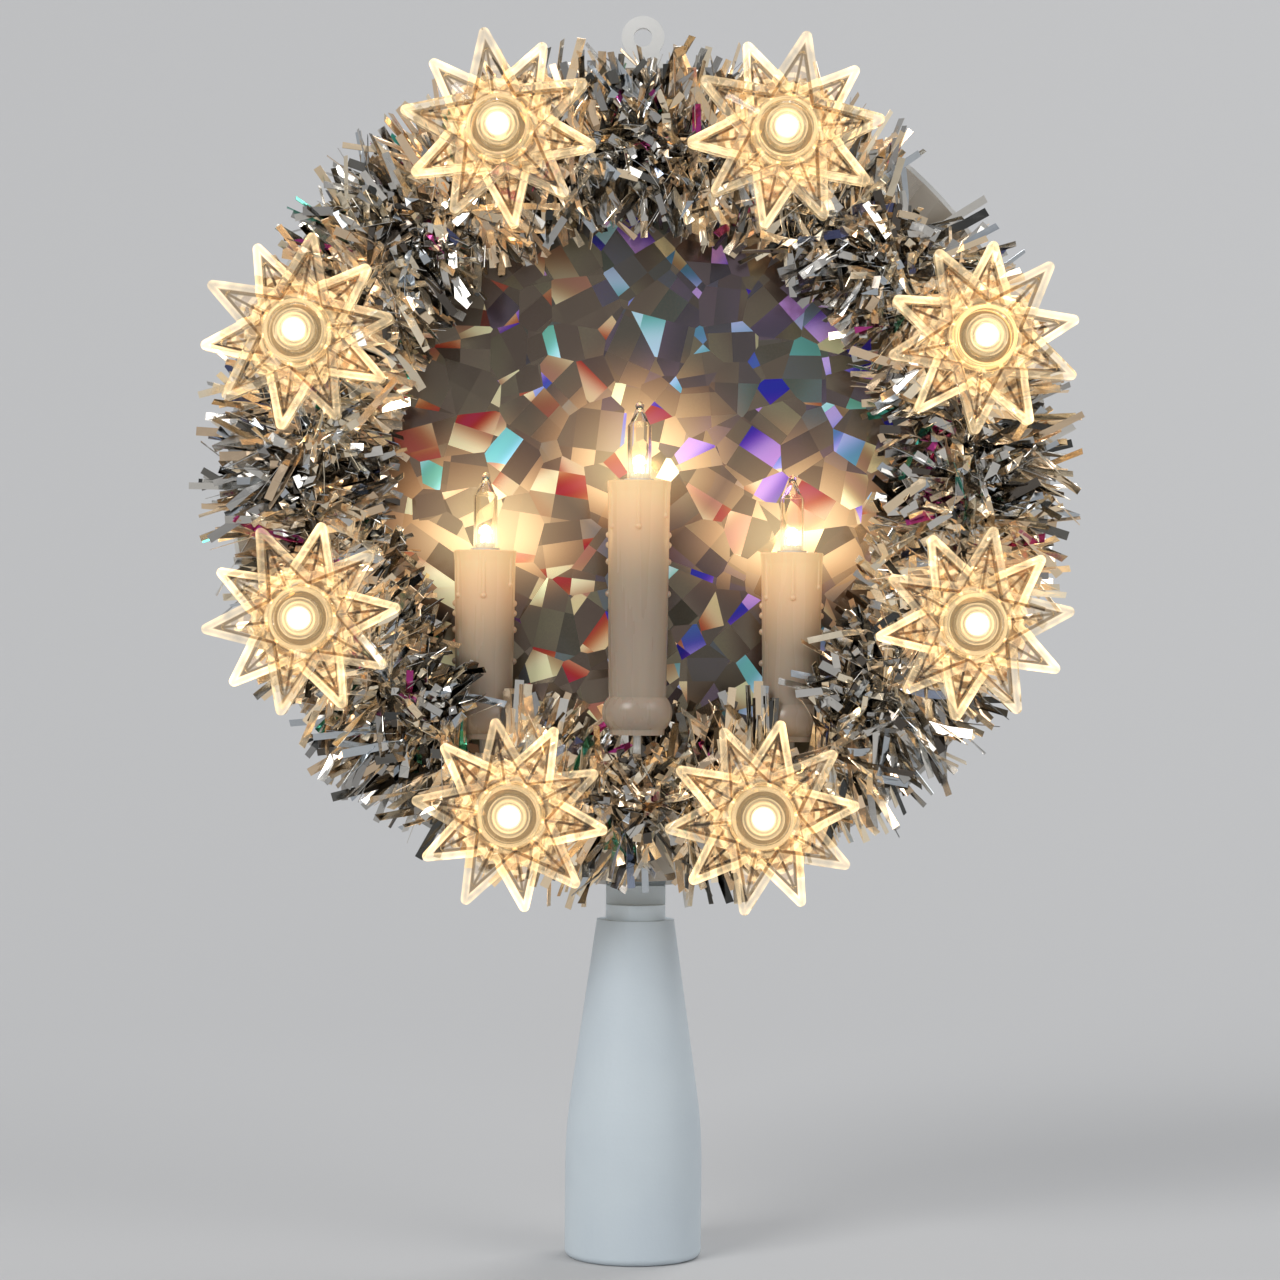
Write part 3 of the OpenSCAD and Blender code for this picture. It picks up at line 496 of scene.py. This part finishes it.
# Wax, by how far it lies below the top of its candle: the colour is painted lighter towards the top, as
# painted light of the lamp
WAX_PAINTED_LIT_TOP = rgb(0.62, 0.45, 0.27)
WAX_PAINTED_DIM_FOOT = rgb(0.36, 0.28, 0.21)
WAX_PAINTED_LIGHT_STEP = (2 * MM, 34 * MM)
WAX_GLOW_TOP = rgb(1.0, 0.68, 0.30)
WAX_GLOW_LOW = rgb(1.0, 0.53, 0.24)
WAX_GLOW_STEP = (0.0, 12 * MM)
WAX_LIGHT_STEP = (0.0, 24 * MM, 0.46, 0.0)
WAX_STREAK = rgb(0.56, 0.44, 0.33)
WAX_STREAK_SCALE = (260, 260, 16)
WAX_STREAK_STEP = (0.4, 0.65, 0.0, 0.12)
WAX_STREAK_GLOW = (0.92, 1.0)
WAX_STREAK_DEPTH = 0.01 * MM
WAX_ROUGHNESS = (0.24, 0.34)


def candle_wax(name, top_z):
    """Wax-like plastic that the lamp lights from above, painted on as a lighter colour and a glow near the
    top.
    """
    s = Surface(name, Subsurface_Weight=0.25, Subsurface_Scale=0.004, IOR=1.45)
    z = s.node("SeparateXYZ", {0: s.place()}).outputs[2]
    below = s.math("SUBTRACT", top_z, z)
    streaks = s.noise(1.0, 3, s.stretched(WAX_STREAK_SCALE))
    # Painted lamp light: the colour is lighter near the top and darker towards the foot.
    body = s.mix(s.step(below, *WAX_PAINTED_LIGHT_STEP), WAX_PAINTED_LIT_TOP, WAX_PAINTED_DIM_FOOT)
    s.feed(Base_Color=s.mix(s.step(streaks, *WAX_STREAK_STEP), body, WAX_STREAK))
    glow = s.step(below, *WAX_LIGHT_STEP)
    s.feed(Emission_Color=s.mix(s.step(below, *WAX_GLOW_STEP), WAX_GLOW_TOP, WAX_GLOW_LOW))
    streak_light = s.step(streaks, *NOISE_STEP, *WAX_STREAK_GLOW)
    s.feed(Emission_Strength=s.math("MULTIPLY", glow, streak_light))
    s.feed(Roughness=s.step(streaks, *NOISE_STEP, *WAX_ROUGHNESS))
    s.bump(streaks, WAX_STREAK_DEPTH)
    return s.material


GLASS_TINT = rgb(1.0, 0.97, 0.91)
GLASS_NOISE_SCALE = 200
GLASS_ROUGHNESS_STEP = (0.4, 0.8, 0.0, 0.05)
FLARE_HOT = rgb(1.0, 0.90, 0.62)
FLARE_WARM = rgb(1.0, 0.66, 0.30)
FLARE_STEP = (2.8 * MM, 4.5 * MM)
FLARE_LIGHT_STEP = (2.4 * MM, 5.0 * MM, 0.22, 0.0)


def clear_glass(name):
    s = Surface(name, Base_Color=GLASS_TINT, IOR=1.48, Transmission_Weight=1.0)
    s.feed(Roughness=s.step(s.noise(GLASS_NOISE_SCALE), *GLASS_ROUGHNESS_STEP))
    return s


def lit_glass(name, filament):
    """Clear glass that flares around the white-hot filament."""
    s = clear_glass(name)
    off = s.vector("LENGTH", s.vector("SUBTRACT", s.place(), filament))
    s.feed(Emission_Color=s.mix(s.step(off, *FLARE_STEP), FLARE_HOT, FLARE_WARM))
    s.feed(Emission_Strength=s.step(off, *FLARE_LIGHT_STEP))
    return s.material


FILAMENT_BODY = rgb(1.0, 0.8, 0.5)
FILAMENT_HOT = rgb(1.0, 0.88, 0.58)
FILAMENT_WARM = rgb(1.0, 0.76, 0.40)
FILAMENT_NOISE_SCALE = 900
STAR_FILAMENT_GLOW = 3.0
CANDLE_FILAMENT_GLOW = 14.0
CANDLE_COIL_GLOW = 6.0


def glowing_filament(name, strength):
    s = Surface(name, Base_Color=FILAMENT_BODY, Emission_Strength=strength)
    s.feed(Emission_Color=s.mix(s.noise(FILAMENT_NOISE_SCALE), FILAMENT_HOT, FILAMENT_WARM))
    return s.material


WIRE_COLOUR = rgb(0.42, 0.42, 0.43)
WIRE_NOISE_SCALE = 500
WIRE_ROUGHNESS = (0.28, 0.45)


def drawn_wire():
    s = Surface("drawn_wire", Metallic=1.0, Base_Color=WIRE_COLOUR)
    s.feed(Roughness=s.step(s.noise(WIRE_NOISE_SCALE), *NOISE_STEP, *WIRE_ROUGHNESS))
    return s.material


# Pieces that stay CAD nodes

HARD_EDGE = math.radians(35)
BEVEL_SEGMENTS = 2


def paint(node, material):
    nodes[node].data.materials.clear()
    nodes[node].data.materials.append(material)


def soften(node, width):
    """A small round on every hard edge, so that edges catch the light."""
    bevel = nodes[node].modifiers.new("soft_edges", "BEVEL")
    bevel.width = width
    bevel.segments = BEVEL_SEGMENTS
    bevel.limit_method = "ANGLE"
    bevel.angle_limit = HARD_EDGE
    bevel.harden_normals = True


def dress_nodes():
    plastics = {name: moulded_plastic(name, *look) for name, look in PLASTICS.items()}
    star_glass = clear_glass("star_lamp_glass").material
    star_filament = glowing_filament("star_filament", STAR_FILAMENT_GLOW)
    candle_filament = glowing_filament("candle_filament", CANDLE_FILAMENT_GLOW)
    paint("tree_cone", plastics["cone_plastic"])
    paint("back_plate", plastics["plate_plastic"])
    paint("plate_stem", plastics["stem_plastic_painted_lighter"])
    paint("prismatic_film", prismatic_film())
    paint("wire_loom", plastics["wire_insulation"])
    paint("candle_leads", plastics["wire_insulation"])
    paint("star_lamp_bases", plastics["lamp_base_plastic"])
    paint("star_filaments", star_filament)
    for i, axis in zip(STARS, star_axes):
        paint(f"lamp_holder_{i}", plastics["holder_plastic"])
        paint(f"star_bulb_{i}", star_glass)
        for side in ("rear", "front"):
            node = f"star_{side}_{i}"
            paint(node, star_plastic(node, axis, side))
            soften(node, STAR_BEVEL)
    for name in CANDLES:
        bulb, sleeve, filament = (f"candle_{piece}_{name}" for piece in ("bulb", "sleeve", "filament"))
        paint(f"candle_bracket_{name}", plastics["bracket_plastic"])
        paint(f"candle_holder_{name}", plastics["holder_plastic"])
        paint(f"candle_lamp_base_{name}", plastics["lamp_base_plastic"])
        paint(filament, candle_filament)
        paint(bulb, lit_glass(f"{bulb}_glass", middle_of(filament)))
        paint(sleeve, candle_wax(f"{sleeve}_wax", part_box(sleeve)[1].z))


# Tinsel

TINSEL_COUNT = 5200
TINSEL_SEED = 20
STRIP_WIDTH = 1.9 * MM
STRIP_WIDTH_SPREAD = (0.8, 1.15)
STRIP_THICKNESS = 0.12 * MM
STRIP_STEPS = 4
STRIP_SHORTEST = 11 * MM
STRIP_LONGEST_OUT = 25 * MM
STRIP_LONGEST_IN = 21 * MM
# The way a strip leaves the core: degrees from straight out over the front, and how far it leans aside.
STRIP_LIFT = (-30, 210)
STRIP_LEAN = 0.35
STRIP_CURL = 0.22
STRIP_TWIST = 0.5
# Share of a strip's length at which it starts, outside the core wire
STRIP_ROOT = 0.12
# How far a strip lies off the film and under the pile's front, in mm
STRIP_REST_MM = (0.3, 3.5)

# Where strips may be
TIP_LIMIT_R = 103 * MM
OPENING_R = 53.5 * MM
PILE_FRONT = 26 * MM
LAMP_ROOM = 6.2 * MM
STAR_ROOM = 1.5 * MM
STAR_WAY_STEPS = 5
CANDLE_ROOM = 9 * MM
CANDLE_FOOT_ROOM = 2 * MM
CANDLE_LAMP_ROOM = 22 * MM
NECK_HALF_W = 11 * MM
NECK_LIMIT_R = 97 * MM
# A thin place in the pile, where the plate's edge shows
THIN_TURN = math.radians(45.6)
THIN_HALF_W = 6.5 * MM
THIN_LIMIT_R = 88 * MM

# Strips that rise in front of the side candles' feet
FOOT_STRIPS = 26
FOOT_TILT = math.radians(50)
FOOT_ASIDE_MM = (4.2, 10)
FOOT_LEAN_MM = (-2, 2)
FOOT_TOP_MM = (6, 15)
FOOT_ROOT_MM = (3, 6)
FOOT_BEHIND_STAR_MM = (0.7, 1.2)

SILVERS = ((0.76, 0.73, 0.67), (0.62, 0.60, 0.56), (0.86, 0.82, 0.75), (0.50, 0.48, 0.45), (0.66, 0.70, 0.73))
DARK_REFLECTIONS = ((0.10, 0.10, 0.095), (0.22, 0.21, 0.19), (0.15, 0.13, 0.11))
GOLDS_AND_STAR_GLINTS = ((0.96, 0.76, 0.52), (0.82, 0.62, 0.42), (1.0, 0.86, 0.64))
FLASHES = ((0.56, 0.07, 0.30), (0.08, 0.40, 0.30), (0.40, 0.46, 0.60), (0.12, 0.13, 0.24))
# A random number below the first limit gives a flash, and one below the second gives a dark strip, a painted
# reflection of dark surroundings.
FLASH_BELOW = 0.03
DARK_REFLECTION_BELOW = 0.17
GOLD_ANYWHERE = 0.12
LIGHTNESS = (0.8, 1.0)
# How far a star's light, painted on the tinsel as gold strips and glow, reaches into it, and how bright the
# painted glow makes a strip there
STAR_LIGHT_R = 37 * MM
STRIP_SHINE = 0.5


def nearest_star(point):
    return min(math.hypot(point.x - a.x, point.z - a.z) for a in star_axes)


def in_candle(point):
    for low, high in candle_boxes:
        axis = (low + high) / 2
        aside = math.hypot(point.x - axis.x, point.y - axis.y)
        if aside < CANDLE_ROOM and low.z - CANDLE_FOOT_ROOM < point.z < high.z + CANDLE_LAMP_ROOM:
            return True
    return False


def in_star_way(a, b):
    """Whether the line from a to b crosses the space that a turning star cover takes."""
    for k in range(1, STAR_WAY_STEPS):
        point = a.lerp(b, k / STAR_WAY_STEPS)
        if -point.y > star_back and nearest_star(point) < star_reach + STAR_ROOM:
            return True
    return False


def strip_path(rng):
    """The middle line of one strip from the core wire outwards, or None where something is in its way."""
    turn = rng.uniform(0, 2 * math.pi)
    lift = math.radians(rng.uniform(*STRIP_LIFT))
    longest = STRIP_LONGEST_OUT if math.cos(lift) > 0 else STRIP_LONGEST_IN
    length = STRIP_SHORTEST + (longest - STRIP_SHORTEST) * math.sqrt(rng.random())
    outward = Vector((math.sin(turn), 0, math.cos(turn)))
    sideways = Vector((math.cos(turn), 0, -math.sin(turn)))
    root = wreath_centre + core_ring_r * outward + core_front * FRONT
    aim = math.cos(lift) * outward + math.sin(lift) * FRONT + rng.gauss(0, STRIP_LEAN) * sideways
    curl = Vector((rng.gauss(0, 1), rng.gauss(0, 1), rng.gauss(0, 1))) * STRIP_CURL
    rest = rng.uniform(*STRIP_REST_MM) * MM
    path = []
    for k in range(STRIP_STEPS + 1):
        share = STRIP_ROOT + (1 - STRIP_ROOT) * k / STRIP_STEPS
        point = root + length * share * aim + length * share * share * curl
        ahead = -point.y
        under_star = nearest_star(point) < star_reach + STAR_ROOM
        top = (star_back - STRIP_WIDTH / 3 if under_star else PILE_FRONT) - rest
        point.y = -min(max(ahead, film_front + rest), top)
        if nearest_star(point) < LAMP_ROOM or in_candle(point):
            return None
        if path and in_star_way(path[-1], point):
            return None
        aside, up = point.x - wreath_centre.x, point.z - wreath_centre.z
        if not OPENING_R < math.hypot(aside, up) < TIP_LIMIT_R:
            return None
        if abs(aside) < NECK_HALF_W and abs(up) > NECK_LIMIT_R:
            return None
        along_thin = aside * math.sin(THIN_TURN) + up * math.cos(THIN_TURN)
        off_thin = aside * math.cos(THIN_TURN) - up * math.sin(THIN_TURN)
        if abs(off_thin) < THIN_HALF_W and along_thin > THIN_LIMIT_R:
            return None
        path.append(point)
    return path


def strip_tint(rng, path):
    """The colour of a strip, among them painted reflections of dark surroundings and of the nearest star's
    light, and how bright its painted glow is in that light.
    """
    light = max(0.0, 1.0 - nearest_star(path[len(path) // 2]) / STAR_LIGHT_R)
    draw = rng.random()
    shine = 0.0
    if draw < FLASH_BELOW:
        colour = rng.choice(FLASHES)
    # Dark strips are painted reflections of dark surroundings.
    elif draw < DARK_REFLECTION_BELOW:
        colour = rng.choice(DARK_REFLECTIONS)
    # Near a star most strips turn gold, a painted reflection of its light; a small share is gold anywhere.
    elif rng.random() < light + GOLD_ANYWHERE:
        colour = rng.choice(GOLDS_AND_STAR_GLINTS)
        shine = STRIP_SHINE * light * rng.random()
    else:
        colour = rng.choice(SILVERS)
    lightness = rng.uniform(*LIGHTNESS)
    return tuple(c * lightness for c in colour) + (1.0,), shine


def foot_path(rng, low, high):
    """A strip that rises from the core in front of a side candle's foot."""
    axis = (low + high) / 2
    aside = rng.choice((-1, 1)) * rng.uniform(*FOOT_ASIDE_MM) * MM
    lean = rng.uniform(*FOOT_LEAN_MM) * MM
    top = low.z + rng.uniform(*FOOT_TOP_MM) * MM
    foot = low.z - rng.uniform(*FOOT_ROOT_MM) * MM
    front = star_back - rng.uniform(*FOOT_BEHIND_STAR_MM) * MM
    path = []
    for k in range(STRIP_STEPS + 1):
        share = k / STRIP_STEPS
        ahead = core_front + (front - core_front) * math.sin(math.radians(90) * min(1, 2 * share))
        path.append(Vector((axis.x + aside + lean * share, -ahead, foot + (top - foot) * share)))
    return path


def add_strip(rng, path, verts, faces, tints, shines, flat=False):
    """A thin bar along the path that turns a little about its own line. A flat one about faces the front."""
    tint, shine = strip_tint(rng, path)
    half_w = STRIP_WIDTH * rng.uniform(*STRIP_WIDTH_SPREAD) / 2
    angle = rng.uniform(0, math.pi)
    twist = rng.gauss(0, STRIP_TWIST)
    tilt = rng.uniform(-FOOT_TILT, FOOT_TILT)
    first = len(verts)
    for k, point in enumerate(path):
        ahead = path[min(k + 1, len(path) - 1)] - path[max(k - 1, 0)]
        along = ahead.normalized()
        across = along.orthogonal().normalized()
        across = Matrix.Rotation(angle + twist * k / STRIP_STEPS, 3, along) @ across
        if flat:
            across = Matrix.Rotation(tilt, 3, along) @ along.cross(FRONT).normalized()
        over = along.cross(across)
        for a, b in ((-1, -1), (1, -1), (1, 1), (-1, 1)):
            verts.append(point + a * half_w * across + b * STRIP_THICKNESS / 2 * over)
            tints.append(tint)
            shines.append(shine)
    for k in range(len(path) - 1):
        ring = first + 4 * k
        for a in range(4):
            b = (a + 1) % 4
            faces.append((ring + a, ring + b, ring + 4 + b, ring + 4 + a))
    last = first + 4 * (len(path) - 1)
    faces.append((first + 3, first + 2, first + 1, first))
    faces.append((last, last + 1, last + 2, last + 3))


def new_piece(name, mesh, body):
    piece = bpy.data.objects.new(name, mesh)
    bpy.context.scene.collection.objects.link(piece)
    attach(piece, body)
    return piece


def make_tinsel():
    rng = random.Random(TINSEL_SEED)
    verts, faces, tints, shines = [], [], [], []
    made = 0
    while made < TINSEL_COUNT:
        path = strip_path(rng)
        if path:
            add_strip(rng, path, verts, faces, tints, shines)
            made += 1
    for low, high in (candle_boxes[0], candle_boxes[2]):
        for _ in range(FOOT_STRIPS):
            add_strip(rng, foot_path(rng, low, high), verts, faces, tints, shines, flat=True)
    mesh = bpy.data.meshes.new("tinsel_strips")
    mesh.from_pydata(verts, [], faces)
    colours = mesh.color_attributes.new("tint", "FLOAT_COLOR", "POINT")
    colours.data.foreach_set("color", [c for tint in tints for c in tint])
    mesh.attributes.new("shine", "FLOAT", "POINT").data.foreach_set("value", shines)
    mesh.materials.append(tinsel_foil())
    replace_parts(new_piece("tinsel_strips", mesh, "wreath"), "tinsel_garland")


# Wires

CORE_TURNS = 56
CORE_TURN_STEPS = 9


def make_core():
    """Two thin wires twisted together along the ring."""
    steps = CORE_TURNS * CORE_TURN_STEPS
    data = bpy.data.curves.new("core_twist", "CURVE")
    data.dimensions = "3D"
    data.bevel_depth = core_wire_r / 2
    data.bevel_resolution = 1
    for strand in range(2):
        spline = data.splines.new("POLY")
        spline.use_cyclic_u = True
        spline.points.add(steps - 1)
        for k, point in enumerate(spline.points):
            around = 2 * math.pi * k / steps
            spin = CORE_TURNS * around + math.pi * strand
            radius = core_ring_r + core_wire_r / 2 * math.cos(spin)
            front = core_front + core_wire_r / 2 * math.sin(spin)
            place = wreath_centre + Vector((radius * math.sin(around), -front, radius * math.cos(around)))
            point.co = (*place, 1)
    data.materials.append(drawn_wire())
    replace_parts(new_piece("core_twist", data, "wreath"), "garland_core")


COIL_R = 1.15 * MM
COIL_END_SHARE = 0.35
COIL_HALF_LENGTH = 1.3 * MM
COIL_WIRE_R = 0.2 * MM
COIL_TURNS = 6
COIL_TURN_STEPS = 16


def make_coil(name, material):
    """The white-hot coil of a candle lamp, wound around its filament and thickest in the middle."""
    filament = f"candle_filament_{name}"
    middle = middle_of(filament)
    middle.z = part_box(filament)[1].z
    steps = COIL_TURN_STEPS * COIL_TURNS
    data = bpy.data.curves.new(f"candle_coil_{name}", "CURVE")
    data.dimensions = "3D"
    data.bevel_depth = COIL_WIRE_R
    data.bevel_resolution = 2
    data.use_fill_caps = True
    spline = data.splines.new("POLY")
    spline.points.add(steps)
    for k, point in enumerate(spline.points):
        share = k / steps
        swell = COIL_R * (COIL_END_SHARE + (1 - COIL_END_SHARE) * math.sin(math.pi * share))
        spin = 2 * math.pi * COIL_TURNS * share
        along = COIL_HALF_LENGTH * (2 * share - 1)
        point.co = (*(middle + Vector((along, swell * math.cos(spin), swell * math.sin(spin)))), 1)
    data.materials.append(material)
    new_piece(data.name, data, f"candle_lamp_{name}")


# Stage

FLOOR_COLOUR = rgb(0.54, 0.54, 0.54)
FLOOR_ROUGHNESS = 0.9
STAGE_FLAT_R = 0.5
STAGE_BEND_R = 1.6
STAGE_RISE = math.radians(60)
STAGE_SIDES = 96
STAGE_BEND_STEPS = 24

ROOM_COLOUR = rgb(0.42, 0.43, 0.45)
# Soft lamps: name, place, size in metres and power in watts
LAMPS = (
    ("key", (-1.9, -2.3, 2.1), 1.5, 57),
    ("fill", (2.2, -1.7, 1.7), 1.9, 26),
    ("back", (1.05, 1.45, 2.5), 1.3, 22),
)


def make_stage():
    """A round pale floor that slowly bends up, so that every side has the same backdrop."""
    profile = []
    for k in range(STAGE_BEND_STEPS + 1):
        a = STAGE_RISE * k / STAGE_BEND_STEPS
        profile.append((STAGE_FLAT_R + STAGE_BEND_R * math.sin(a), STAGE_BEND_R * (1 - math.cos(a))))
    ways = [2 * math.pi * k / STAGE_SIDES for k in range(STAGE_SIDES)]
    verts = [(r * math.cos(a), r * math.sin(a), z) for r, z in profile for a in ways]
    faces = [tuple(range(STAGE_SIDES))]
    for ring in range(len(profile) - 1):
        for k in range(STAGE_SIDES):
            low = ring * STAGE_SIDES + k
            beside = ring * STAGE_SIDES + (k + 1) % STAGE_SIDES
            faces.append((low, low + STAGE_SIDES, beside + STAGE_SIDES, beside))
    mesh = bpy.data.meshes.new("floor")
    mesh.from_pydata(verts, [], faces)
    mesh.polygons.foreach_set("use_smooth", [False] + [True] * (len(faces) - 1))
    mesh.materials.append(Surface("floor_paper", Base_Color=FLOOR_COLOUR, Roughness=FLOOR_ROUGHNESS).material)
    floor = bpy.data.objects.new("floor", mesh)
    bpy.context.scene.collection.objects.link(floor)


def area_light(name, place, size, power):
    data = bpy.data.lights.new(name, "AREA")
    data.size = size
    data.energy = power
    lamp = bpy.data.objects.new(name, data)
    lamp.location = place
    lamp.rotation_euler = (wreath_centre - Vector(place)).to_track_quat("-Z", "Y").to_euler()
    bpy.context.scene.collection.objects.link(lamp)


def make_light():
    world = bpy.data.worlds.new("studio")
    world.use_nodes = True
    world.node_tree.nodes["Background"].inputs["Color"].default_value = ROOM_COLOUR
    bpy.context.scene.world = world
    for lamp in LAMPS:
        area_light(*lamp)
    bpy.context.scene.view_settings.view_transform = "Standard"


make_camera()
make_stage()
make_light()
dress_nodes()
make_core()
make_tinsel()
coil_glow = glowing_filament("candle_coil", CANDLE_COIL_GLOW)
for candle in CANDLES:
    make_coil(candle, coil_glow)
